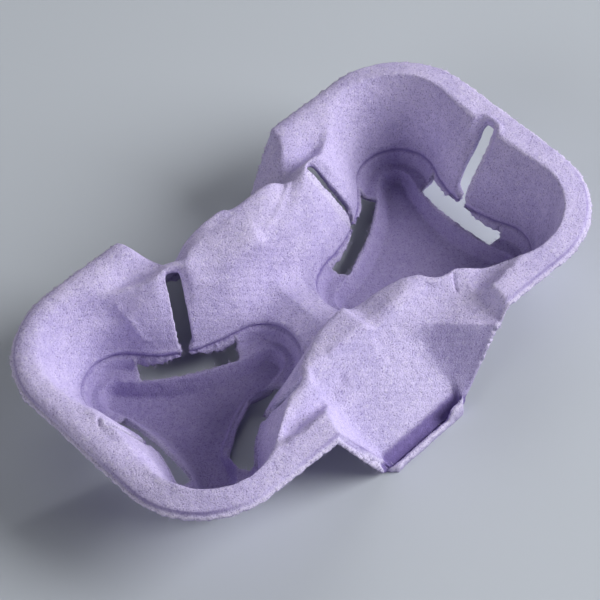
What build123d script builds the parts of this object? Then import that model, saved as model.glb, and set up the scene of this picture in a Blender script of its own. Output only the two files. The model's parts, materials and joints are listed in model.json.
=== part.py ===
from build123d import *
import math
import os

# Two-cup carrier tray, moulded in one piece from paper pulp.
# Millimetres, Z up, X along the length; the tray stands on z = 0.

# Overall form
length = 215.0            # over the trimmed flange
width = 124.4             # over the trimmed flange
corner_radius = 36.0      # plan radius of the four outer corners
plateau_height = 45.5     # top of the two ridges and of the rim's inner edge
wall = 2.2                # pulp thickness

# Rim and trimmed flange
rim_edge_height = 42.0    # where the sloping rim strip ends
rim_slope_run = 11.0      # how far the strip takes to climb to the plateau
flange_width = 1.4        # how far the flange stands out past the rim
flange_step = 1.6         # drop from the formed face to the flange
flange_thickness = 1.6

# Cup pockets: three round lobes with three flaps between them. At each level
# lobe_out is the distance from the pocket centre to the middle of a lobe,
# lobe_radius is the lobe's own radius, and flap_in is how near a flap comes.
pocket_pitch = 109.0      # centre to centre
flaps_per_pocket = 3
arcs_per_lobe = 14        # short arcs end to end, which mesh lighter than one long arc
arcs_per_flap = 2

floor_lobe_out = 33.5     # star-shaped floor
floor_lobe_radius = 4.0
floor_flap_in = 14.2

lip_height = 8.5          # raised lip round the floor, and the flat ledge outside it
lip_lobe_out = 33.0
lip_lobe_radius = 6.6
lip_flap_in = 17.8

ledge_lobe_out = 30.8
ledge_lobe_radius = 12.0
ledge_flap_in = 22.0

step_height = 16.0        # step where the flared wall begins
step_lobe_out = 29.7
step_lobe_radius = 16.3
step_flap_in = 25.4
step_rise = 1.6           # height of the step itself
step_set_in = 1.4         # how far the wall below it is set in

mouth_lobe_out = 33.3     # top of the flared wall
mouth_lobe_radius = 24.0
mouth_flap_in = 38.6
mouth_roll = 2.6          # rounding from the wall into the rim

# Tee slots, one in each flap
slot_length = 38.0        # bar of the tee, along the foot of the flap
slot_inner = 19.6         # bar's inner edge from the pocket centre, at its middle
slot_inner_deep = 16.2    # the same for the slots along the front, cut further in
slot_inner_end = 21.0     # and at both ends of the bar
slot_bottom = 4.4
slot_top = 12.6
slot_outer = 34.0
slit_width = 3.2          # stem of the tee, up the flap
slit_reach = 40.0         # where the stem ends, from the pocket centre

# Saddle that joins the pockets between the ridges: at the middle of the tray
saddle_top_half = 22.0
saddle_floor_half = 20.0
saddle_floor = 20.0
saddle_fillet = 9.5
# and where it runs out into each pocket
saddle_run = 23.5
saddle_end_top_half = 25.5
saddle_end_floor_half = 13.0
saddle_end_floor = 11.3
saddle_end_fillet = 8.0
saddle_arcs = 3           # short arcs that make up each of its fillets

# Finger chute in the middle of each long side
chute_head = 34.0         # distance from the tray's axis to the ridge edge
chute_head_half = 30.0    # half width at the ridge
chute_foot_half = 20.0    # half width at the bottom edge
chute_foot_height = 4.9   # height of the formed face at the trimmed bottom edge
foot_lip = 2.4            # how far the bottom lip stands out past the rim line
chute_side_lean = 0.50    # how far the flanks open for each unit of height
chute_fillet = 4.0

# Groove that runs from each chute along the rim, getting shallower
groove_start = 22.0       # from the middle of the tray
groove_end = 63.0
groove_start_line = 43.6  # distance of its bottom from the tray's axis
groove_end_line = 50.0
groove_depth = 11.6
groove_end_depth = 0.6
groove_start_half = 5.6
groove_end_half = 1.6
groove_stretches = 4      # flat stretches along its twisting sides

# The hidden underside is flat-sided: each of its curves is drawn as straight chords
underside_arcs = 3        # arcs per lobe there
underside_chords = 4      # chords per arc
underside_stretches = 2
flat_within = 0.002       # how far a corner may lie off a face that counts as flat

# Clearances between cutting solids, so that no two faces coincide
over = 5.0                # how far a cutter runs past what it cuts

trim_half_length = length / 2 - flange_width
trim_half_width = width / 2 - flange_width
trim_radius = corner_radius - flange_width
foot_level = flange_step + flange_thickness


def plan_outline(grow):
    """Rounded plan of the tray, grown or shrunk from the rim line."""
    return RectangleRounded(
        2 * (trim_half_length + grow), 2 * (trim_half_width + grow), trim_radius + grow
    )


def arc_run(curve, parts):
    """A curve as short arcs end to end."""
    return [
        ThreePointArc(curve @ (k / parts), curve @ ((k + 0.5) / parts), curve @ ((k + 1) / parts))
        for k in range(parts)
    ]


def outline_points(face, chords):
    """Corners round a face, with each of its arcs cut into that many chords."""
    points = []
    for edge in face.face().outer_wire().order_edges():
        parts = 1 if edge.geom_type == GeomType.LINE else chords
        points += [edge @ (k / parts) for k in range(parts)]
    return points


def facing(ring, other):
    """The same corners, started from the one that lies nearest the other ring's first."""
    turns = [ring[k:] + ring[:k] for k in range(len(ring))]
    return min(turns, key=lambda turn: sum((p - q).length for p, q in zip(turn, other)))


def flat_patch(a, b, c, d):
    """The face between four corners: one piece if it is flat, else two triangles."""
    normal = (b - a).cross(c - a).normalized()
    if abs(normal.dot(d - a)) < flat_within:
        return [Face(Wire.make_polygon([a, b, c, d]))]
    return [Face(Wire.make_polygon([a, b, c])), Face(Wire.make_polygon([a, c, d]))]


def flat_sided_body(sections, chords=1, stretches=1):
    """Solid through matching sections, made of flat faces only."""
    ends = [outline_points(sections[0], chords)]
    for face in sections[1:]:
        ends.append(facing(outline_points(face, chords), ends[-1]))
    rings = []
    for low, high in zip(ends, ends[1:]):
        for k in range(stretches):
            rings.append([p + (q - p) * (k / stretches) for p, q in zip(low, high)])
    rings.append(ends[-1])
    faces = [Face(Wire.make_polygon(rings[0])), Face(Wire.make_polygon(rings[-1]))]
    for low, high in zip(rings, rings[1:]):
        for k in range(len(low)):
            faces += flat_patch(low[k - 1], low[k], high[k], high[k - 1])
    return Solid(Shell(faces))


def lobed_face(z, lobe_out, lobe_radius, flap_in, lobe_arcs, flap_arcs):
    """Three round lobes joined by three flaps that bulge inward."""
    bulge = (lobe_out ** 2 + flap_in ** 2 - lobe_out * flap_in - lobe_radius ** 2) / (
        2 * lobe_radius + lobe_out - 2 * flap_in
    )
    step = 2 * math.pi / flaps_per_pocket
    edges = []
    for k in range(flaps_per_pocket):
        flap_dir = k * step
        lobe_dir = flap_dir + step / 2
        next_dir = flap_dir + step
        lobe = Vector(lobe_out * math.cos(lobe_dir), lobe_out * math.sin(lobe_dir))
        ends = []
        for side in (flap_dir, next_dir):
            far = flap_in + bulge
            bulge_centre = Vector(far * math.cos(side), far * math.sin(side))
            ends.append(lobe + (bulge_centre - lobe).normalized() * lobe_radius)
        reach = lobe_out + lobe_radius
        crown = Vector(reach * math.cos(lobe_dir), reach * math.sin(lobe_dir))
        edges.append((ends[0], crown, ends[1], next_dir))
    wire = []
    for k, (start, crown, end, next_dir) in enumerate(edges):
        nose = Vector(flap_in * math.cos(next_dir), flap_in * math.sin(next_dir))
        following = edges[(k + 1) % len(edges)][0]
        wire += arc_run(ThreePointArc(start, crown, end), lobe_arcs)
        wire += arc_run(ThreePointArc(end, nose, following), flap_arcs)
    return Location((0, 0, z)) * Face(Wire(wire))


def floor_profile():
    """Levels of the pocket's foot: the floor and the lip round it."""
    return [
        (wall, floor_lobe_out, floor_lobe_radius, floor_flap_in),
        (lip_height, lip_lobe_out, lip_lobe_radius, lip_flap_in),
    ]


def wall_profile(roll_turns):
    """Levels of the pocket's wall: the ledge, the step, the flare and the rounded mouth."""
    rows = [
        (lip_height, ledge_lobe_out, ledge_lobe_radius, ledge_flap_in),
        (step_height - step_rise, step_lobe_out, step_lobe_radius - step_set_in,
         step_flap_in - step_set_in),
        (step_height, step_lobe_out, step_lobe_radius, step_flap_in),
    ]
    for turn in roll_turns:
        out = mouth_roll * (1 - math.cos(math.radians(turn)))
        up = mouth_roll * math.sin(math.radians(turn))
        rows.append((plateau_height - mouth_roll + up, mouth_lobe_out,
                     mouth_lobe_radius + out, mouth_flap_in + out))
    return rows


def lowered(rows, offset):
    """Pocket levels moved into the pulp by the offset, with mitred corners."""
    mid = [(0.5 * (row[1] + row[2] + row[3]), row[0]) for row in rows]
    mid = [(mid[0][0] - over, mid[0][1])] + mid + [(mid[-1][0] + over, mid[-1][1])]
    out = []
    for k, row in enumerate(rows, start=1):
        normals = []
        for a, b in ((mid[k - 1], mid[k]), (mid[k], mid[k + 1])):
            run, rise = b[0] - a[0], b[1] - a[1]
            span = math.hypot(run, rise)
            normals.append((rise / span, -run / span))
        nx, nz = normals[0][0] + normals[1][0], normals[0][1] + normals[1][1]
        scale = 2.0 / (nx * nx + nz * nz)
        shift, drop = nx * scale * offset, nz * scale * offset
        out.append((row[0] + drop, row[1], row[2] + shift, row[3] + shift))
    return out


def raised(rows, top):
    """The same levels with the last one carried straight up to the top."""
    return rows + [(top,) + rows[-1][1:]]


def pocket_cutter(side, offset):
    if offset > 0:
        rows = lowered(floor_profile() + wall_profile((0, 85)), offset)
        rows = raised(rows, plateau_height + over)
        faces = [lobed_face(*row, underside_arcs, 1) for row in rows]
        body = flat_sided_body(faces, underside_chords)
    else:
        foot = raised(floor_profile(), lip_height + over)
        head = raised(wall_profile((0, 40, 85)), plateau_height + over)
        body = loft([lobed_face(*row, arcs_per_lobe, arcs_per_flap) for row in foot], ruled=True)
        body += loft([lobed_face(*row, arcs_per_lobe, arcs_per_flap) for row in head], ruled=True)
    turn = 0 if side > 0 else 180
    return Location((side * pocket_pitch / 2, 0, 0), (0, 0, turn)) * body


def trough_face(x, floor_z, floor_half, top_half, fillet_radius, offset):
    """Upright U section across the tray, for the saddle."""
    top_z = plateau_height + over
    lean = (top_half - floor_half) / (plateau_height - floor_z)
    foot = floor_half + offset
    head = foot + lean * (top_z - floor_z + offset)
    base = floor_z - offset
    outline = Polyline((-head, top_z), (-foot, base), (foot, base), (head, top_z), close=True)
    face = make_face(Plane.YZ.offset(x) * outline)
    low = [v for v in face.vertices() if v.Z < base + 0.5]
    face = fillet(low, fillet_radius + offset)
    edges = []
    for edge in face.face().outer_wire().order_edges():
        edges += [edge] if edge.geom_type == GeomType.LINE else arc_run(edge, saddle_arcs)
    return Face(Wire(edges))


def saddle_cutter(offset):
    middle = trough_face(0, saddle_floor, saddle_floor_half, saddle_top_half, saddle_fillet, offset)
    parts = []
    for side in (-1, 1):
        end = trough_face(
            side * saddle_run, saddle_end_floor, saddle_end_floor_half,
            saddle_end_top_half, saddle_end_fillet, offset,
        )
        if offset > 0:
            parts.append(flat_sided_body([middle, end], stretches=underside_stretches))
        else:
            parts.append(loft([middle, end], ruled=True))
    return parts


def chute_face(y_out, offset):
    """Section of the finger chute at a distance from the tray's axis."""
    slope = (plateau_height - chute_foot_height) / (trim_half_width - chute_head)
    narrowing = (chute_head_half - chute_foot_half) / (trim_half_width - chute_head)
    floor_now = plateau_height - slope * (y_out - chute_head)
    base = floor_now - offset * math.hypot(1, slope)
    half = chute_head_half - narrowing * (y_out - chute_head)
    side_shift = offset * math.hypot(1, chute_side_lean)
    top_z = 2 * plateau_height
    # the flank planes are moved straight out, whatever the floor does
    foot = half + side_shift - chute_side_lean * (floor_now - base)
    head = half + side_shift + chute_side_lean * (top_z - floor_now)
    outline = Polyline((-head, top_z), (-foot, base), (foot, base), (head, top_z), close=True)
    return make_face(Plane.XZ.offset(-y_out) * outline)


def chute_cutter(side, offset):
    slope = (plateau_height - chute_foot_height) / (trim_half_width - chute_head)
    back = chute_head - 4.0 / slope
    body = flat_sided_body([chute_face(back, offset), chute_face(trim_half_width + over, offset)])
    bottom = body.faces().sort_by(Axis((0, 0, 0), (0, slope, 1)))[0]
    keel = [edge for edge in bottom.edges() if abs(edge.tangent_at(0).Y) > 0.2]
    body = fillet(keel, chute_fillet + offset)
    keep = Location((0, trim_half_width, foot_level - offset)) * Box(
        2 * length, 2 * width, 3 * plateau_height, align=(Align.CENTER, Align.CENTER, Align.MIN)
    )
    body = body & keep
    return body if side > 0 else mirror(body, Plane.XZ)


def groove_face(x, line, depth, half, offset):
    top_z = plateau_height + over
    grow = half / depth
    base = plateau_height - depth - offset * math.hypot(1, 1 / grow)
    head = (top_z - base) * grow
    outline = Polyline((line - head, top_z), (line, base), (line + head, top_z), close=True)
    return make_face(Plane.YZ.offset(x) * outline)


def groove_cutter(side_x, side_y, offset):
    start = groove_face(groove_start, groove_start_line, groove_depth, groove_start_half, offset)
    end = groove_face(groove_end, groove_end_line, groove_end_depth, groove_end_half, offset)
    body = flat_sided_body([start, end], stretches=groove_stretches)
    if side_x < 0:
        body = mirror(body, Plane.YZ)
    return body if side_y > 0 else mirror(body, Plane.XZ)


def formed_mass(offset):
    """Everything under the formed face, moved into the pulp by the offset."""
    low = -over - offset
    edge = rim_edge_height - offset
    base = Location((0, 0, low)) * extrude(plan_outline(-offset), edge - low)
    rise = plateau_height - rim_edge_height
    lean = math.degrees(math.atan2(rim_slope_run, rise))
    crown = Location((0, 0, edge)) * extrude(plan_outline(-offset), rise, taper=lean)
    mass = base + crown
    for side in (-1, 1):
        mass -= pocket_cutter(side, offset)
        mass -= chute_cutter(side, offset)
        for across in (-1, 1):
            mass -= groove_cutter(side, across, offset)
    for part in saddle_cutter(offset):
        mass -= part
    return mass


def flange_ring(offset, outer):
    """What lies under the flange line, round the trimmed edge only."""
    low = -2 * over
    high = rim_edge_height - offset
    ring = extrude(plan_outline(outer), high - low) - extrude(plan_outline(-wall), high - low)
    ring = Location((0, 0, low)) * ring
    for side in (-1, 1):
        ring -= chute_cutter(side, offset)
    return ring


def foot_plate():
    """Bottom lip of a finger chute, turned outward where the tray was trimmed."""
    half = chute_foot_half - chute_side_lean * chute_foot_height
    reach = foot_lip + wall
    return Location((0, trim_half_width - wall, 0)) * Box(
        2 * half, reach, flange_thickness, align=(Align.CENTER, Align.MIN, Align.MIN)
    )


def tee_cutter(inner):
    """Bar and stem of one tee slot, in the flap that faces outward."""
    half = slot_length / 2
    bar_plan = make_face([
        ThreePointArc((slot_inner_end, half), (inner, 0), (slot_inner_end, -half)),
        Polyline((slot_inner_end, -half), (slot_outer, -half), (slot_outer, half),
                 (slot_inner_end, half)),
    ])
    bar = Location((0, 0, slot_bottom)) * extrude(bar_plan, slot_top - slot_bottom)
    stem_plan = Location(((slot_inner_end + slit_reach) / 2, 0)) * SlotOverall(
        slit_reach - slot_inner_end, slit_width
    )
    stem = Location((0, 0, slot_bottom)) * extrude(stem_plan, plateau_height)
    return bar, stem


def build_carrier():
    tray = formed_mass(0.0) - formed_mass(wall)
    tray += flange_ring(flange_step, flange_width)
    tray -= flange_ring(flange_step + flange_thickness, flange_width + over)
    tray += foot_plate()
    tray += mirror(foot_plate(), Plane.XZ)
    for side in (-1, 1):
        turn = 0 if side > 0 else 180
        for k in range(flaps_per_pocket):
            angle = turn + k * 360 / flaps_per_pocket
            spot = Location((side * pocket_pitch / 2, 0, 0), (0, 0, angle))
            in_front = math.sin(math.radians(angle)) < -0.5
            for tool in tee_cutter(slot_inner_deep if in_front else slot_inner):
                tray -= spot * tool
    return tray


if __name__ == "__main__":
    os.makedirs("parts", exist_ok=True)
    carrier = build_carrier()
    export_step(carrier, "parts/carrier_tray.step")
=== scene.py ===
import json
import math

import bpy
import numpy as np
from mathutils import Matrix, Vector, noise

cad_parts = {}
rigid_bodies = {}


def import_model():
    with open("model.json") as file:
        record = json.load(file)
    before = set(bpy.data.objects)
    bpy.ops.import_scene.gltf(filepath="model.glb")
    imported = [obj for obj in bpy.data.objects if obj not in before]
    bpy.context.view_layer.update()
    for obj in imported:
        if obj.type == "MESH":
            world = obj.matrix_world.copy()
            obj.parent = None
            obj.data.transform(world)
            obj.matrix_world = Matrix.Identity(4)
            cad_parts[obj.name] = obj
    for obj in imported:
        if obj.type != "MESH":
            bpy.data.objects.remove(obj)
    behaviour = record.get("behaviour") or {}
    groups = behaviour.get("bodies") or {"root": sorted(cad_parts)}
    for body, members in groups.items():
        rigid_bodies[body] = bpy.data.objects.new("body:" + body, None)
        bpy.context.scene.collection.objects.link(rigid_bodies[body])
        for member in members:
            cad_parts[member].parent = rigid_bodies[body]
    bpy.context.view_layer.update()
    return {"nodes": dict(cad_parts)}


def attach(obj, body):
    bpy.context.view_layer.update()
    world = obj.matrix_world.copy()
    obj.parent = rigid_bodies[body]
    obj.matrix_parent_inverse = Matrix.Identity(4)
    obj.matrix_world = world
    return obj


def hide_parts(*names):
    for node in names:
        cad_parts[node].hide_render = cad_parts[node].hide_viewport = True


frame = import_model()
mm = 0.001


# small helpers

def deselectAll():
    for other in bpy.data.objects:
        other.select_set(False)


def pick(piece):
    deselectAll()
    piece.select_set(True)
    bpy.context.view_layer.objects.active = piece


def applyModifier(piece, kind, name, **settings):
    pick(piece)
    modifier = piece.modifiers.new(name, kind)
    for key, value in settings.items():
        setattr(modifier, key, value)
    bpy.ops.object.modifier_apply(modifier=name)


def readPoints(piece):
    points = np.zeros(len(piece.data.vertices) * 3, np.float32)
    piece.data.vertices.foreach_get("co", points)
    return points.reshape(-1, 3).astype(float)


def writePoints(piece, points):
    piece.data.vertices.foreach_set("co", points.astype(np.float32).ravel())
    piece.data.update()


def hexColour(code):
    # sRGB hex to the linear values that the shader wants
    channels = [int(code[i:i + 2], 16) / 255 for i in (1, 3, 5)]
    return tuple(c / 12.92 if c <= 0.04045 else ((c + 0.055) / 1.055) ** 2.4 for c in channels) + (1.0,)


def addNode(tree, kind, settings=None, values=None, links=None):
    # adds one node, sets its options and values, and links its inputs
    node = tree.nodes.new(kind)
    for key, value in (settings or {}).items():
        setattr(node, key, value)
    for key, value in (values or {}).items():
        node.inputs[key].default_value = value
    for key, source in (links or {}).items():
        tree.links.new(source, node.inputs[key])
    return node


# camera, set to the photograph's angle

cameraSetup = {
    "place": (-406.656, -537.687, 906.956),   # millimetres, in the tray's own frame
    "looksAlong": (0.365202, 0.486466, -0.793712),
    "rollDeg": -6.8,
    "lensMm": 180,
    "sensorMm": 36,
}


def makeCamera(setup):
    data = bpy.data.cameras.new("studioCamera")
    data.lens = setup["lensMm"]
    data.sensor_width = setup["sensorMm"]
    data.clip_end = 20
    camera = bpy.data.objects.new("studioCamera", data)
    bpy.context.scene.collection.objects.link(camera)
    turn = Vector(setup["looksAlong"]).to_track_quat("-Z", "Y").to_matrix().to_4x4()
    roll = Matrix.Rotation(math.radians(setup["rollDeg"]), 4, "Z")
    camera.matrix_world = Matrix.Translation(Vector(setup["place"]) * mm) @ turn @ roll
    bpy.context.scene.camera = camera
    return camera


camera = makeCamera(cameraSetup)
axes = camera.matrix_world.to_3x3()
print("camera right", [round(v, 4) for v in axes.col[0]], "up", [round(v, 4) for v in axes.col[1]])


# the moulded tray

trayPlan = {                # millimetres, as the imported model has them
    "halfLength": 106.1, "halfWidth": 60.8, "radius": 34.6,     # line where the formed face was trimmed
    "flangeOut": 1.4,       # how far the flange stands out past it
    "hitHalfWidth": 62.0,   # just inside the flange's edge, where there is pulp to measure
    "pocketX": 54.5,
    "slotIn": 19.6, "slotInFront": 16.2, "slotInEnd": 21.0, "slotOut": 34.0,
    "slotHalf": 19.0, "slotLow": 4.4, "slotTop": 12.6,
    "slitHalf": 1.6, "slitEnd": 40.0,
}

trayShape = {               # millimetres
    "voxelMm": 0.52,
    "softRounds": 6,        # rounds the pressed corners
    "ridgeRounds": 56,      # more rounding along the tops of the ridges
    "lipRounds": 90,        # and where the rim rolls into the pockets on the far left sides
    "lumpMm": 0.34, "lumpSizeMm": 11.0,
    "rippleMm": 0.16, "rippleSizeMm": 2.6,
    "tearMm": 0.5, "tearSizeMm": 1.7,           # ragged trimmed edge
    "slotTearMm": 0.7,
    "stepGrooveMm": 1.4, "stepBeadMm": 0.6,     # sharp step round the pocket walls
    "slotDeeperMm": {-1: 4.2, 1: 1.6},          # front slots of the left and right pocket, cut further in
    "lipLowerMm": {-1: 3.6, 1: 1.6},            # and the lip that they were cut through
    # painted shade: how strongly the pocket floors, the near chute's right flank and the underside are
    # darkened
    "paintedFloorShade": 0.48, "paintedFlankShade": 0.35, "paintedUnderShade": 0.45,   # how much darker
    "underTriangles": 56000, "allTriangles": 197000,
    "rimDrop": {            # how the rim leans in towards a pocket on its far left side
        "inFromTrim": [0, 3, 5, 8, 11, 14, 18],
        "down": [0, -0.3, 0.3, 2.0, 3.9, 4.8, 5.0],
        "middleDeg": 138, "halfDeg": 62, "fadeDeg": 26,
    },
    "lipDips": [            # x, y, spread along x and y, depth: where the grooves cross the lip
        (47.5, -44.5, 8.5, 6.0, 5.0),
        (47.5, 44.5, 8.0, 6.0, 4.0),
        (34.0, -37.0, 9.0, 7.0, 2.5),
    ],
    "slitChanges": [        # wider each side, longer, aside, in the order of slotFrames
        (0.2, 0.0, 0.0),    # left pocket: end, near, far
        (0.9, 1.5, 0.0),
        (1.2, 2.0, -0.5),
        (0.9, 3.5, 2.0),    # right pocket: end, far, near
        (0.0, 2.0, -3.2),
        (0.9, 1.5, 0.0),
    ],
    "rightFlank": {         # right flank of the near chute
        "face": (95.5, 0.0, 1.485),         # height = first + second * x + third * y
        "steep": (83.9, 1.833, 1.913),
        "shoulderFrom": (15.9, -41.0), "shoulderTowards": (0.6975, 0.7166),
        "shoulderTop": 34.0, "shoulderRise": 0.28,
    },
    "seams": [              # points in plan, height, spread: thin pressed or wrinkled lines on the ridges
        (((-18.3, -34.4), (-11.9, -35.3), (7.5, -35.6), (27.4, -35.8)), 0.9, 0.9),
        (((5.6, 26.0), (13.1, 28.7), (19.6, 32.6), (26.0, 37.0)), 0.6, 0.8),
        (((-19.0, -41.0), (-26.7, -42.0), (-36.2, -45.2), (-43.3, -46.3), (-49.9, -47.5)), -1.3, 2.0),
        (((24.0, -42.4), (32.2, -43.4), (39.8, -46.1)), 0.45, 0.8),
        (((38.8, -38.9), (37.7, -40.5), (36.3, -42.8)), -0.9, 0.45),
        (((-54.1, 43.4), (-53.1, 38.4), (-52.3, 34.6), (-51.2, 31.0)), 0.5, 0.9),
        (((-96.5, 2.0), (-95.2, 3.9), (-94.0, 5.0)), -0.8, 0.7),
    ],
    "farRidge": {           # its crest leans back, and its flat top narrows towards the left pocket
        "back": 3.5,
        "edgeX": [-33.0, -19.9, -10.7, -5.9, -1.9, 1.0, 5.6, 13.1, 19.6, 26.0],
        "edgeY": [37.0, 31.7, 28.2, 25.3, 23.2, 23.5, 26.0, 28.7, 32.6, 37.0],
        "fall": 0.42, "most": 3.2,
        "level": 45.0,      # the top goes on to the right pocket at the same height
        "mostRise": 8,
    },
    "footLip": {            # turned-up lip along the foot of the near chute, behind a gutter
        "across": [54.0, 56.5, 58.4, 59.6, 62.5, 63.2, 63.9, 66.0],
        "top": [14.9, 10.8, 5.6, 2.4, 1.9, 6.0, 7.0, 6.8],
        "half": 20.5, "skewFront": 0.045, "stretch": 1.22,
    },
}


def smoothStep(value):
    value = np.clip(value, 0, 1)
    return value * value * (3 - 2 * value)


def between(value, low, high, rise, fall):
    # 1 between two values, eased in over the rise and out over the fall
    return smoothStep((value - low) / rise) * smoothStep((high - value) / fall)


def straightHalf(plan):
    # half of each straight side of the trimmed outline
    return np.array([plan["halfLength"], plan["halfWidth"]]) - plan["radius"]


def outsideTrim(points, plan):
    # how far each point is outside the trimmed outline in plan, negative inside
    q = np.abs(points[:, :2]) - straightHalf(plan)
    beyond = np.hypot(np.maximum(q[:, 0], 0), np.maximum(q[:, 1], 0))
    return beyond + np.minimum(np.maximum(q[:, 0], q[:, 1]), 0) - plan["radius"]


def slotFrames(points, plan):
    # outward and crosswise distance of each point in the frame of each tee slot
    for side in (-1, 1):
        for k in range(3):
            angle = (0 if side > 0 else math.pi) + k * 2 * math.pi / 3
            x, y = points[:, 0] - side * plan["pocketX"], points[:, 1]
            out = x * math.cos(angle) + y * math.sin(angle)
            across = -x * math.sin(angle) + y * math.cos(angle)
            yield side, angle, out, across


def slotGap(points, plan):
    # how far each point is from the nearest tee slot, negative in the slot
    farAway = 99.0
    best = np.full(len(points), farAway)
    z = points[:, 2]
    for side, angle, out, across in slotFrames(points, plan):
        first = plan["slotInFront"] if math.sin(angle) < -0.5 else plan["slotIn"]
        inner = first + (plan["slotInEnd"] - first) * np.clip(across / plan["slotHalf"], -1, 1) ** 2
        q = np.stack([np.maximum(inner - out, out - plan["slotOut"]),
                      np.abs(across) - plan["slotHalf"],
                      np.maximum(plan["slotLow"] - z, z - plan["slotTop"])], 1)
        bar = np.linalg.norm(np.maximum(q, 0), axis=1) + np.minimum(q.max(1), 0)
        along = np.clip(out, plan["slotInEnd"], plan["slitEnd"] - plan["slitHalf"])
        slit = np.hypot(out - along, across) - plan["slitHalf"]
        slit = np.where(z > plan["slotLow"], slit, farAway)
        best = np.minimum(best, np.minimum(bar, slit))
    return best


def grainAt(points, sizeMm, seed):
    # soft noise from -1 to 1 at each point
    scaled = points / sizeMm + seed * 17.3
    return np.array([noise.noise(p) for p in scaled.tolist()]) * 1.6


def setGroup(piece, name, weights):
    group = piece.vertex_groups.new(name=name)
    steps = np.round(weights * 20).astype(int)
    for level in range(1, 21):
        chosen = np.nonzero(steps == level)[0]
        if len(chosen):
            group.add(chosen.tolist(), level / 20, "REPLACE")
    return group


def edgeDistance(points, plan):
    # millimetres of pulp between each point and the nearest cut or torn edge
    return np.minimum(plan["flangeOut"] - outsideTrim(points, plan), slotGap(points, plan))


def readNormals(piece):
    normals = np.zeros(len(piece.data.vertices) * 3, np.float32)
    piece.data.vertex_normals.foreach_get("vector", normals)
    return normals.reshape(-1, 3)


def aroundPocket(points, plan):
    # each point's distance and bearing from the nearer pocket's middle
    x = points[:, 0] - np.sign(points[:, 0]) * plan["pocketX"]
    return np.hypot(x, points[:, 1]), np.degrees(np.arctan2(points[:, 1], x)) % 360, x


def leanRim(points, plan, drop):
    out, bearing, x = aroundPocket(points, plan)
    inside = drop["halfDeg"] + drop["fadeDeg"] - np.abs(bearing - drop["middleDeg"])
    share = smoothStep(inside / drop["fadeDeg"])
    share *= smoothStep((points[:, 2] - 26) / 10) * smoothStep((out - 36) / 8)
    points[:, 2] -= share * np.interp(-outsideTrim(points, plan), drop["inFromTrim"], drop["down"])
    return share


def dipLip(points, dips):
    high = smoothStep((points[:, 2] - 18) / 16)
    for x, y, alongX, alongY, depth in dips:
        near = np.exp(-((points[:, 0] - x) / alongX) ** 2 - ((points[:, 1] - y) / alongY) ** 2)
        points[:, 2] -= depth * near * high


def softerOf(a, b, width, sign):
    # the higher of two heights when sign is 1 and the lower when it is -1, with a rounded change
    share = np.clip(0.5 + 0.5 * sign * (b - a) / width, 0, 1)
    return a * (1 - share) + b * share + sign * width * share * (1 - share)


def topsAbove(piece, points, chosen, plan):
    # the height of the tray's upper face over each chosen point
    bpy.context.view_layer.update()
    down = Vector((0, 0, -1))
    edge = plan["hitHalfWidth"]
    overhead = 80 * mm
    tops = []
    for i in chosen:
        x, y, z = points[i]
        y = min(max(y, -edge), edge)
        hit, spot, normal, index = piece.ray_cast(Vector((x * mm, y * mm, overhead)), down)
        tops.append(spot.z / mm if hit else z)
    return np.array(tops)


def shapeFlank(piece, points, plan, flank):
    # turns the near chute's right flank into a steep dark side under a rounded shoulder
    x, y, z = points[:, 0], points[:, 1], points[:, 2]
    fromPocket = np.hypot(x - plan["pocketX"], y)
    share = between(x, 9, 45, 4, 6) * smoothStep((-y - 35) / 3)
    share *= smoothStep((fromPocket - 40) / 5) * (z > 1)
    chosen = np.nonzero(share > 0.01)[0]
    tops = topsAbove(piece, points, chosen, plan)
    px, py = x[chosen], np.maximum(y[chosen], -plan["hitHalfWidth"])
    face = flank["face"][0] + flank["face"][1] * px + flank["face"][2] * py
    steep = flank["steep"][0] + flank["steep"][1] * px + flank["steep"][2] * py
    start, towards = flank["shoulderFrom"], flank["shoulderTowards"]
    beyond = (px - start[0]) * towards[0] + (py - start[1]) * towards[1]
    shoulder = flank["shoulderTop"] + flank["shoulderRise"] * beyond
    side = softerOf(steep, shoulder, 0.9, -1)
    wanted = softerOf(face, side, 9.0, 1)
    z[chosen] += share[chosen] * (wanted - tops)
    print("flank shaped at", len(chosen), "points")


def pressSeams(points, normals, lines):
    high = np.nonzero((points[:, 2] > 20) & (normals[:, 2] > 0.15))[0]
    flat = points[high, :2]
    for line, height, spread in lines:
        nearest = np.full(len(high), 99.0)
        for start, end in zip(line[:-1], line[1:]):
            start, along = np.array(start), np.array(end) - np.array(start)
            t = np.clip(((flat - start) @ along) / (along @ along), 0, 1)
            nearest = np.minimum(nearest, np.linalg.norm(flat - start - t[:, None] * along, axis=1))
        points[high] += normals[high] * (height * np.exp(-(nearest / spread) ** 2))[:, None]


def shapeFarRidge(piece, points, plan, ridge):
    # drops the crest's front, levels its top as far as the right pocket, and moves it back
    x, y, z = points[:, 0], points[:, 1], points[:, 2]
    high = smoothStep((z - 24) / 10)
    along = between(x, -31, 36, 12, 12)
    edge = np.interp(x, ridge["edgeX"], ridge["edgeY"])
    front = np.clip(ridge["fall"] * (edge - y), 0, ridge["most"]) * (y > 8) * smoothStep((7 - x) / 3)
    z -= front * smoothStep((z - 36) / 5) * along
    top = between(x, -37, 30, 30, 12) * smoothStep((z - 28) / 4)
    top *= smoothStep((y - edge + 1.0) / 3) * smoothStep((48 - y) / 9)
    chosen = np.nonzero(top > 0.01)[0]
    short = ridge["level"] - topsAbove(piece, points, chosen, plan)
    z[chosen] += top[chosen] * np.clip(short, 0, ridge["mostRise"])
    y += ridge["back"] * high * along * between(y, 24, 56, 10, 12)


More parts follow.
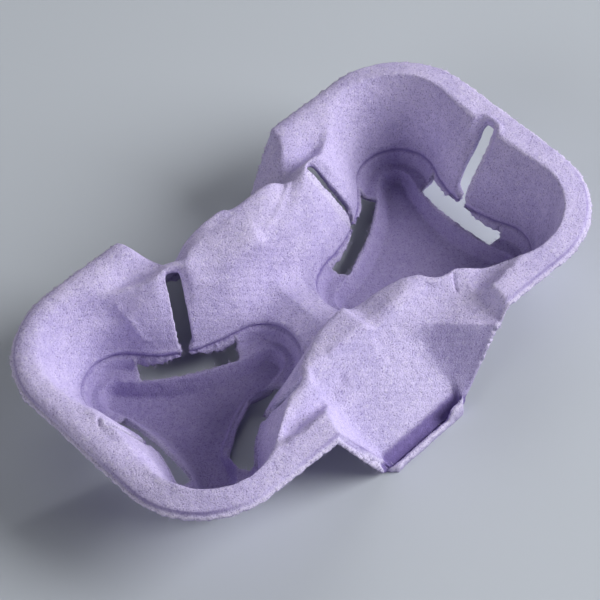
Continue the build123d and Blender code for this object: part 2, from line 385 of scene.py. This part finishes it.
def moveSlits(points, plan, changes):
    # each slit was torn a little wider, longer or to one side of where it was meant to be
    for (side, angle, out, across), (wider, longer, aside) in zip(slotFrames(points, plan), changes):
        reach = between(out, 21, plan["slitEnd"] + 6, 3, 5)
        reach *= smoothStep((points[:, 2] - 15) / 3)
        near = reach * smoothStep((7 - np.abs(across)) / 5)
        wide = reach * smoothStep((13 - np.abs(across)) / 11)
        push = np.sign(across) * wider * near + aside * wide
        pull = longer * near * smoothStep((out - 29) / 8)
        points[:, 0] += math.cos(angle) * pull - math.sin(angle) * push
        points[:, 1] += math.sin(angle) * pull + math.cos(angle) * push


def shapeFoot(points, plan, foot):
    # brings the pressed face down into a gutter, then up again into the lip
    x, y, z = points[:, 0], points[:, 1], points[:, 2]
    inFoot = smoothStep((foot["half"] - np.abs(x)) / 2.5) * (y < -foot["across"][0]) * (z < 16)
    old = np.interp(np.abs(y), [54.0, 61.2, 61.6, 64.5], [14.9, 4.9, 3.2, 3.2])
    stretched = foot["across"][0] + (np.abs(y) - foot["across"][0]) * foot["stretch"]
    new = np.interp(stretched, foot["across"], foot["top"])
    upper = np.clip(z / old, 0, 1.3)
    z += inFoot * upper * (new - old)
    y += np.sign(y) * inFoot * np.maximum(np.abs(y) - foot["across"][0], 0) * (foot["stretch"] - 1)
    skew = smoothStep((30 - z) / 30) * smoothStep((-y - 42) / 18) * smoothStep((44 - np.abs(x)) / 12)
    y += skew * foot["skewFront"] * x


def sharpenStep(points, normals, plan, shape):
    # a narrow groove with a bead above it, where the flared wall of a pocket begins
    out, bearing, x = aroundPocket(points, plan)
    inward = -(normals[:, 0] * x + normals[:, 1] * points[:, 1]) / np.maximum(out, 1)
    wall = smoothStep((inward - 0.15) / 0.3) * (out > 20) * (out < 50) * (np.abs(points[:, 0]) > 4)
    z = points[:, 2]
    groove = np.exp(-((z - 14.3) / 0.75) ** 2) * shape["stepGrooveMm"]
    bead = np.exp(-((z - 16.0) / 0.7) ** 2) * shape["stepBeadMm"]
    uneven = 0.75 + 0.35 * grainAt(points * np.array([1, 1, 0.2]), 14.0, 8)
    points -= normals * (wall * uneven * (groove - bead))[:, None]


def hangTornWall(points, plan):
    # the wall under each flap was torn: it hangs low at the slot's ends and is short by the slit
    z = points[:, 2]
    for side, angle, out, across in slotFrames(points, plan):
        here = (out > 19) & (out < 33) & (np.abs(across) < plan["slotHalf"] - 0.3)
        low = smoothStep((14.6 - z) / 2.0) * (z > 11.5)
        far = np.abs(across) / plan["slotHalf"]
        hang = 3.6 * smoothStep((far - 0.15) / 0.6) - 0.6
        if side < 0 and math.sin(angle) < -0.5:
            hang = hang * np.where(across > 0, 1.8, 0.6)
        points[:, 2] -= here * low * hang * (1 + 0.35 * grainAt(points * np.array([1, 1, 0.3]), 3.0, 9))


def openFrontSlot(points, plan, shape):
    # the slots in the near walls were cut further in, through a lower lip
    z = points[:, 2]
    for side, angle, out, across in slotFrames(points, plan):
        if math.sin(angle) > -0.5:
            continue
        pull = np.exp(-((out - 16.0) / 2.6) ** 2) * smoothStep((19 - np.abs(across)) / 6)
        pull *= (z > 1.0) * (z < 12)
        points[:, 2] -= pull * shape["lipLowerMm"][side] * smoothStep((z - 3.5) / 3.5)
        inner = smoothStep((out - 7) / 8) * (out < 22) * (points[:, 2] < 12.2)
        push = inner * smoothStep((20 - np.abs(across)) / 8) * shape["slotDeeperMm"][side]
        points[:, 0] -= push * math.cos(angle)
        points[:, 1] -= push * math.sin(angle)


def tearEdges(points, plan, shape):
    # ragged flange and slot edges, as left by trimming wet pulp
    outside = outsideTrim(points, plan)
    near = np.nonzero(outside > 0.1)[0]
    flat = points[near]
    inward = flat[:, :2] - np.clip(flat[:, :2], -straightHalf(plan), straightHalf(plan))
    inward /= np.maximum(np.linalg.norm(inward, axis=1), 0.001)[:, None]
    rough = grainAt(flat, shape["tearSizeMm"], 1) + 0.7 * grainAt(flat, shape["tearSizeMm"] / 2.7, 2)
    rough *= 0.45 + 0.75 * np.abs(grainAt(flat, 9.0, 7))
    pull = smoothStep((outside[near] - 0.45) / 0.9)
    # the chutes' flanks were cut through thin, upright pulp, and tore more
    upright = smoothStep((44 - np.abs(flat[:, 0])) / 8) * smoothStep((38 - flat[:, 2]) / 4)
    calm = 1 - 0.7 * smoothStep((24 - np.abs(flat[:, 0])) / 3) * smoothStep((11 - flat[:, 2]) / 3)
    points[near, :2] += inward * (calm * pull * rough * shape["tearMm"] * (1 + 1.1 * upright))[:, None]
    points[near, 2] += calm * pull * grainAt(flat, 2.3, 3) * 0.25
    gap = slotGap(points, plan)
    near = np.nonzero(gap < 2.2)[0]
    flat = points[near]
    step = 0.05
    slope = np.stack([slotGap(flat + step * np.eye(3)[k], plan) - gap[near] for k in range(3)], 1)
    slope /= np.maximum(np.linalg.norm(slope, axis=1), 0.001)[:, None]
    rough = grainAt(flat, 1.9, 4) + 0.8 * grainAt(flat, 0.8, 5)
    pull = smoothStep((2.0 - gap[near]) / 2.0)
    slitPart = flat[:, 2] > plan["slotTop"] + 3.5
    floorSide = flat[:, 2] < 9.0
    amount = shape["slotTearMm"] * rough * np.where(slitPart, 0.4, np.where(floorSide, 0.45, 1.0))
    points[near] -= slope * (pull * amount)[:, None]


# painted shade, darker where less light falls: pocket floors, the groove under each step, a line just
# inside the trimmed edge, the gutter behind the foot lip, the near chute's right flank and the underside
def paintedShadeShare(points, normals, plan, shape):
    # where the pulp is denser, damper and so darker: pocket floors, pressed steps, the wire side
    out, bearing, x = aroundPocket(points, plan)
    y, z = points[:, 1], points[:, 2]
    inward = -(normals[:, 0] * x + normals[:, 1] * y) / np.maximum(out, 1)
    pocket = shape["paintedFloorShade"] * smoothStep((27 - z) / 22) * (out < 46)
    step = np.exp(-((z - 14.2) / 0.8) ** 2) * smoothStep((inward - 0.1) / 0.3) * (out > 20) * (out < 50)
    step *= np.abs(points[:, 0]) > 4
    trim = (0.45 + 0.5 * grainAt(points, 26.0, 12)) * (normals[:, 2] > 0.2)
    trim *= np.exp(-((outsideTrim(points, plan) + 0.1) / 0.4) ** 2)
    gutter = (y < -57.5) * (y > -63.6) * smoothStep((7.5 - z) / 3) * (np.abs(points[:, 0]) < 22)
    side = shape["paintedFlankShade"] * between(points[:, 0], 12, 44, 8, 4) * (y < -38)
    side *= smoothStep((36 - z) / 1.5) * smoothStep((-normals[:, 0] - 0.15) / 0.3)
    under = shape["paintedUnderShade"] * smoothStep((0.25 - normals[:, 2]) / 0.4) * (z < 44)
    under *= (inward < 0.1) | (normals[:, 2] < -0.1) | (z < 1.5)
    return np.clip(np.maximum.reduce([pocket, step, trim, gutter, side, under]), 0, 1)


def countTriangles(piece):
    return sum(len(face.vertices) - 2 for face in piece.data.polygons)


def addShare(piece, name, share):
    # a number from 0 to 1 at each point, for the material to read
    attribute = piece.data.attributes.new(name, "FLOAT", "POINT")
    attribute.data.foreach_set("value", share.astype(np.float32))


def makeTray(plan, shape):
    node = frame["nodes"]["carrier_tray"]
    tray = bpy.data.objects.new("mouldedTray", node.data.copy())
    bpy.context.scene.collection.objects.link(tray)
    pick(tray)
    bpy.ops.object.mode_set(mode="EDIT")
    bpy.ops.mesh.select_all(action="SELECT")
    bpy.ops.mesh.remove_doubles(threshold=0.00001)
    bpy.ops.object.mode_set(mode="OBJECT")
    applyModifier(tray, "REMESH", "evenSkin", mode="VOXEL", voxel_size=shape["voxelMm"] * mm)
    print("even skin", len(tray.data.vertices), "points")
    points = readPoints(tray) / mm
    lean = leanRim(points, plan, shape["rimDrop"])
    dipLip(points, shape["lipDips"])
    writePoints(tray, points * mm)
    shapeFlank(tray, points, plan, shape["rightFlank"])
    shapeFarRidge(tray, points, plan, shape["farRidge"])
    shapeFoot(points, plan, shape["footLip"])
    openFrontSlot(points, plan, shape)
    hangTornWall(points, plan)
    moveSlits(points, plan, shape["slitChanges"])
    writePoints(tray, points * mm)
    away = edgeDistance(points, plan)
    x, y, z = np.abs(points[:, 0]), np.abs(points[:, 1]), points[:, 2]
    out, bearing, fromMiddle = aroundPocket(points, plan)
    crispEdge = 0.35 + 0.65 * smoothStep((away - 1.0) / 2.0)
    crispStep = 1 - 0.55 * np.exp(-((z - 15.2) / 2.0) ** 2) * (out < 50)
    setGroup(tray, "soft", crispEdge * crispStep)
    ridge = smoothStep((46 - x) / 10) * smoothStep((z - 24) / 8) * smoothStep((56 - y) / 8)
    fromCrest = np.abs(points[:, 1] + 35.5)
    ridge *= 1 - 0.75 * smoothStep((4.5 - fromCrest) / 3)       # the near crest stays sharp
    setGroup(tray, "ridge", ridge * smoothStep((away - 1.5) / 3.0))
    inside = -outsideTrim(points, plan)
    rolled = lean * smoothStep((inside - 2.0) / 3.0) * smoothStep((z - 26) / 6)
    setGroup(tray, "lip", rolled * smoothStep(away / 3))
    for group in ("soft", "ridge", "lip"):
        applyModifier(tray, "SMOOTH", group + "Smoothed", factor=0.5, iterations=shape[group + "Rounds"],
                      vertex_group=group)
    print("edges softened")
    points = readPoints(tray) / mm
    normals = readNormals(tray)
    sharpenStep(points, normals, plan, shape)
    pressSeams(points, normals, shape["seams"])
    writePoints(tray, points * mm)
    for name in ("lump", "ripple"):
        clouds = bpy.data.textures.new(name, "CLOUDS")
        clouds.noise_scale = shape[name + "SizeMm"] * mm
        clouds.noise_depth = 2
        applyModifier(tray, "DISPLACE", name, texture=clouds, texture_coords="LOCAL",
                      strength=2 * shape[name + "Mm"] * mm, mid_level=0.5)
    points = readPoints(tray) / mm
    tearEdges(points, plan, shape)
    writePoints(tray, points * mm)
    # the underside is seldom seen, so it gives up its detail first
    normals = readNormals(tray)
    under = (normals[:, 2] < -0.1) * (edgeDistance(points, plan) > 2.5)
    setGroup(tray, "under", under.astype(float))
    triangles = countTriangles(tray)
    hidden = triangles * under.mean()
    wanted = triangles - hidden + shape["underTriangles"]
    applyModifier(tray, "DECIMATE", "lighterUnder", ratio=wanted / triangles, vertex_group="under",
                  vertex_group_factor=1.0)
    halfway = countTriangles(tray)
    applyModifier(tray, "DECIMATE", "lighter", ratio=shape["allTriangles"] / halfway)
    print("tray lightened from", triangles, "to", halfway, "to", countTriangles(tray), "triangles")
    tray.vertex_groups.clear()
    points = readPoints(tray) / mm
    points[:, 2] = np.maximum(points[:, 2], 0.0)     # it stands on the floor
    writePoints(tray, points * mm)
    addShare(tray, "torn", smoothStep(1.2 - edgeDistance(points, plan) / 1.3))
    # painted shade at each point, for the material to mix in
    addShare(tray, "paintedShadeAmount", paintedShadeShare(points, readNormals(tray), plan, shape))
    pick(tray)
    bpy.ops.object.shade_smooth()
    return tray


tray = makeTray(trayPlan, trayShape)
print("tray has", len(tray.data.polygons), "faces")


# loose fibres that stand out of the torn edges

looseFibres = {
    "count": 2600, "seed": 11, "slotOdds": 2.5,
    "shortestMm": 0.8, "longestMm": 3.0,
    "thickMm": 0.15,        # drawn coarser than real fibres so that they show
    "leanSpread": 0.55, "curl": 0.5,
    "rootMm": 0.2,          # how far each starts inside the pulp
}


def makeFibres(fibres, plan, source):
    deselectAll()
    bpy.ops.mesh.primitive_cone_add(vertices=3, radius1=0.5, radius2=0.12, depth=1, location=(0, 0, 0.5))
    one = bpy.context.active_object
    pick(one)
    bpy.ops.object.transform_apply(location=True, rotation=True, scale=True)
    bpy.ops.object.mode_set(mode="EDIT")
    bpy.ops.mesh.select_all(action="SELECT")
    for height in (0.35, 0.7):
        bpy.ops.mesh.bisect(plane_co=(0, 0, height), plane_no=(0, 0, 1))
        bpy.ops.mesh.select_all(action="SELECT")
    bpy.ops.object.mode_set(mode="OBJECT")
    shape = readPoints(one)
    sides = [tuple(face.vertices) for face in one.data.polygons]
    bpy.data.objects.remove(one)
    spots = readPoints(source)
    normals = readNormals(source)
    away = edgeDistance(spots / mm, plan)
    pool = np.nonzero((away < 0.5) & (spots[:, 2] > 1.5 * mm))[0]
    chance = np.random.RandomState(fibres["seed"])
    odds = np.where(slotGap(spots[pool] / mm, plan) < 0.6, fibres["slotOdds"], 1.0)
    chosen = chance.choice(pool, min(fibres["count"], len(pool)), replace=False, p=odds / odds.sum())
    places, faces = [], []
    for spot in chosen:
        reach = chance.uniform(fibres["shortestMm"], fibres["longestMm"]) * chance.uniform(0.5, 1) * mm
        lean = Vector(normals[spot]) + Vector(chance.normal(0, fibres["leanSpread"], 3))
        lean.normalize()
        side = lean.orthogonal().normalized()
        side.rotate(Matrix.Rotation(chance.uniform(0, 6.28), 3, lean))
        other = lean.cross(side)
        curl = chance.uniform(-fibres["curl"], fibres["curl"])
        wide = fibres["thickMm"] * chance.uniform(0.6, 1.2) * mm
        base = Vector(spots[spot]) - lean * (fibres["rootMm"] * mm)
        first = len(places)
        for u, v, t in shape:
            bow = side * (curl * t * t * reach)
            place = base + lean * (t * reach) + side * (u * wide) + other * (v * wide) + bow
            places.append(place)
        faces += [tuple(first + corner for corner in face) for face in sides]
    mesh = bpy.data.meshes.new("looseFibres")
    mesh.from_pydata(places, [], faces)
    piece = bpy.data.objects.new("looseFibres", mesh)
    bpy.context.scene.collection.objects.link(piece)
    pick(piece)
    bpy.ops.object.shade_smooth()
    return piece


fibrePiece = makeFibres(looseFibres, trayPlan, tray)
print("loose fibres", len(fibrePiece.data.polygons), "faces")


# moulded paper pulp: matt felted fibre, dyed lavender, with light and dark specks in the grain

pulpLook = {
    "lightColour": "#dacff6",
    "darkColour": "#c4b9e6",
    "fibreColour": "#efe8fc",
    "speckColour": "#8273b0",
    "tornColour": "#e0d8f4",
    # painted shade colour, mixed in where less light falls
    "paintedShadeColour": "#8072aa",
    "roughness": 0.93,
    "blotchMm": 16.0,
    "clumpMm": 2.6, "clumpDeepMm": 0.7,
    "grainMm": 0.62, "grainDeepMm": 0.5,    # fibre grain is finer, drawn coarse so that it shows
    "fibreMm": 1.054,                       # pale single fibres in the face
    "clothMm": 4.2, "clothDeepMm": 0.2,     # print of the mould's wire cloth, drawn coarse so that it shows
    "tornShare": 0.8, "fibreShare": 0.45, "speckShare": 0.85,
    "fuzzRoughness": 0.85,
    "fuzzPerMetre": 900.0,                  # changes of shade along the loose fibres
}


def makePulp(look):
    material = bpy.data.materials.new("mouldedPaperPulp")
    material.use_nodes = True
    tree = material.node_tree
    shader = tree.nodes["Principled BSDF"]
    shader.inputs["Roughness"].default_value = look["roughness"]
    shader.inputs["IOR"].default_value = 1.5
    shader.inputs["Specular IOR Level"].default_value = 0.2
    place = addNode(tree, "ShaderNodeTexCoord").outputs["Object"]
    noises = {}
    for part, detail, rough, twist in (("blotch", 3.0, 0.6, 0.0), ("clump", 2.0, 0.6, 0.0),
                                       ("grain", 2.0, 0.75, 0.0), ("fibre", 1.0, 0.6, 1.2)):
        values = {"Scale": 1000 / look[part + "Mm"], "Detail": detail}
        values.update({"Roughness": rough, "Distortion": twist})
        noises[part] = addNode(tree, "ShaderNodeTexNoise", values=values,
                               links={"Vector": place}).outputs["Fac"]
    # diagonal bands repeat every two pi over ten along each axis, at a scale of 1
    clothScale = 1000 * (2 * math.pi / 10) / look["clothMm"]
    cloth = addNode(tree, "ShaderNodeTexWave", {"wave_type": "BANDS", "bands_direction": "DIAGONAL"},
                    {"Scale": clothScale, "Distortion": 1.5, "Detail": 1.0},
                    {"Vector": place}).outputs["Fac"]
    soft = addNode(tree, "ShaderNodeMath", {"operation": "MULTIPLY_ADD"}, {1: 0.45, 2: 0.0},
                   {0: noises["clump"]}).outputs["Value"]
    uneven = addNode(tree, "ShaderNodeMath", {"operation": "MULTIPLY_ADD"}, {1: 0.55},
                     {0: noises["blotch"], 2: soft}).outputs["Value"]
    tone = addNode(tree, "ShaderNodeMapRange", values={"From Min": 0.38, "From Max": 0.62},
                   links={"Value": uneven}).outputs["Result"]
    colour = addNode(tree, "ShaderNodeMix", {"data_type": "RGBA"},
                     {"A": hexColour(look["darkColour"]), "B": hexColour(look["lightColour"])},
                     {"Factor": tone}).outputs["Result"]
    edge = addNode(tree, "ShaderNodeAttribute", {"attribute_name": "torn"}).outputs["Fac"]
    torn = addNode(tree, "ShaderNodeMath", {"operation": "MULTIPLY"}, {1: look["tornShare"]},
                   {0: edge}).outputs["Value"]
    pale = addNode(tree, "ShaderNodeMapRange", None,
                   {"From Min": 0.53, "From Max": 0.70, "To Max": look["fibreShare"]},
                   {"Value": noises["fibre"]}).outputs["Result"]
    # painted shade amount at each point
    paintedShade = addNode(tree, "ShaderNodeAttribute", {"attribute_name": "paintedShadeAmount"}).outputs["Fac"]
    speck = addNode(tree, "ShaderNodeMapRange", None,
                    {"From Min": 0.48, "From Max": 0.30, "To Max": look["speckShare"]},
                    {"Value": noises["grain"]}).outputs["Result"]
    # torn edges are paler; painted shade darkens the pocket floors, step grooves, trimmed edge line,
    # gutter, right flank and underside
    for part, share in (("torn", torn), ("fibre", pale), ("paintedShade", paintedShade), ("speck", speck)):
        colour = addNode(tree, "ShaderNodeMix", {"data_type": "RGBA"},
                         {"B": hexColour(look[part + "Colour"])},
                         {"Factor": share, "A": colour}).outputs["Result"]
    tree.links.new(colour, shader.inputs["Base Color"])
    bump = {}
    for part, height, strength in (("cloth", cloth, 0.25), ("clump", noises["clump"], 0.5),
                                   ("grain", noises["grain"], 1.0)):
        bump["Height"] = height
        values = {"Strength": strength, "Distance": look[part + "DeepMm"] * mm}
        bump["Normal"] = addNode(tree, "ShaderNodeBump", values=values, links=bump).outputs["Normal"]
    tree.links.new(bump["Normal"], shader.inputs["Normal"])
    return material


tray.data.materials.clear()
tray.data.materials.append(makePulp(pulpLook))
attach(tray, "root")
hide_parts("carrier_tray")


def makeFibreFuzz(look):
    # single paper fibres: paler than the felted face, quite matt, a little light comes through
    material = bpy.data.materials.new("loosePaperFibre")
    material.use_nodes = True
    tree = material.node_tree
    shader = tree.nodes["Principled BSDF"]
    shader.inputs["Roughness"].default_value = look["fuzzRoughness"]
    shader.inputs["Specular IOR Level"].default_value = 0.2
    place = addNode(tree, "ShaderNodeTexCoord").outputs["Object"]
    shade = addNode(tree, "ShaderNodeTexNoise", values={"Scale": look["fuzzPerMetre"], "Detail": 1.0},
                    links={"Vector": place})
    colour = addNode(tree, "ShaderNodeMix", {"data_type": "RGBA"},
                     {"A": hexColour(look["darkColour"]), "B": hexColour(look["fibreColour"])},
                     {"Factor": shade.outputs["Fac"]})
    tree.links.new(colour.outputs["Result"], shader.inputs["Base Color"])
    return material


fibrePiece.data.materials.append(makeFibreFuzz(pulpLook))
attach(fibrePiece, "root")
print("pulp material on the tray and its fibres")


# floor and light

studio = {
    "floorColour": "#c6ccd4",
    "floorHalfM": 3.0,
    "keyFromDeg": (317, 31), "keyFarM": 2.2, "keyWideM": 1.55, "keyWatts": 57,
    "fills": {                          # name: from degrees, strength, softness in degrees
        "sideFill": (45, 35, 0.65, 40),
        "backFill": (180, 22, 0.85, 40),
    },
    "skyColour": "#dfe3ea",
    "skyLight": 0.03,
    "skySeen": 0.75,
}


def fromDegrees(around, up):
    a, e = math.radians(around), math.radians(up)
    return Vector((math.cos(a) * math.cos(e), math.sin(a) * math.cos(e), math.sin(e)))


def addLamp(name, around, up, strength, soft):
    lamp = bpy.data.lights.new(name, "SUN")
    lamp.energy = strength
    lamp.angle = math.radians(soft)
    stand = bpy.data.objects.new(name, lamp)
    bpy.context.scene.collection.objects.link(stand)
    stand.rotation_euler = fromDegrees(around, up).to_track_quat("Z", "Y").to_euler()


def addKey(setup):
    lamp = bpy.data.lights.new("softKey", "AREA")
    lamp.shape = "DISK"
    lamp.size = setup["keyWideM"]
    lamp.energy = setup["keyWatts"]
    stand = bpy.data.objects.new("softKey", lamp)
    bpy.context.scene.collection.objects.link(stand)
    toLamp = fromDegrees(*setup["keyFromDeg"])
    stand.location = toLamp * setup["keyFarM"]
    stand.rotation_euler = toLamp.to_track_quat("Z", "Y").to_euler()


def makeStudio(setup):
    deselectAll()
    bpy.ops.mesh.primitive_plane_add(size=2 * setup["floorHalfM"], location=(0, 0, 0))
    floor = bpy.context.active_object
    floor.name = "studioFloor"
    # matt painted board: even and pale, with no gloss
    paint = bpy.data.materials.new("paintedBoardFloor")
    paint.use_nodes = True
    board = paint.node_tree.nodes["Principled BSDF"]
    board.inputs["Base Color"].default_value = hexColour(setup["floorColour"])
    board.inputs["Roughness"].default_value = 0.9
    board.inputs["Specular IOR Level"].default_value = 0.1
    floor.data.materials.append(paint)
    addKey(setup)
    for name, (around, up, strength, soft) in setup["fills"].items():
        addLamp(name, around, up, strength, soft)
    world = bpy.data.worlds.new("studioSky")
    bpy.context.scene.world = world
    world.use_nodes = True
    tree = world.node_tree
    light = tree.nodes["Background"]
    light.inputs["Color"].default_value = hexColour(setup["skyColour"])
    light.inputs["Strength"].default_value = setup["skyLight"]
    seen = addNode(tree, "ShaderNodeBackground",
                   values={"Color": hexColour(setup["skyColour"]), "Strength": setup["skySeen"]})
    path = addNode(tree, "ShaderNodeLightPath").outputs
    direct = addNode(tree, "ShaderNodeMath", {"operation": "MAXIMUM"},
                     links={0: path["Is Camera Ray"], 1: path["Is Glossy Ray"]}).outputs["Value"]
    direct = addNode(tree, "ShaderNodeMath", {"operation": "MAXIMUM"},
                     links={0: direct, 1: path["Is Transmission Ray"]}).outputs["Value"]
    both = addNode(tree, "ShaderNodeMixShader",
                   links={0: direct, 1: light.outputs["Background"], 2: seen.outputs["Background"]})
    tree.links.new(both.outputs["Shader"], tree.nodes["World Output"].inputs["Surface"])


makeStudio(studio)
bpy.context.scene.view_settings.view_transform = "Standard"
print("studio is set")
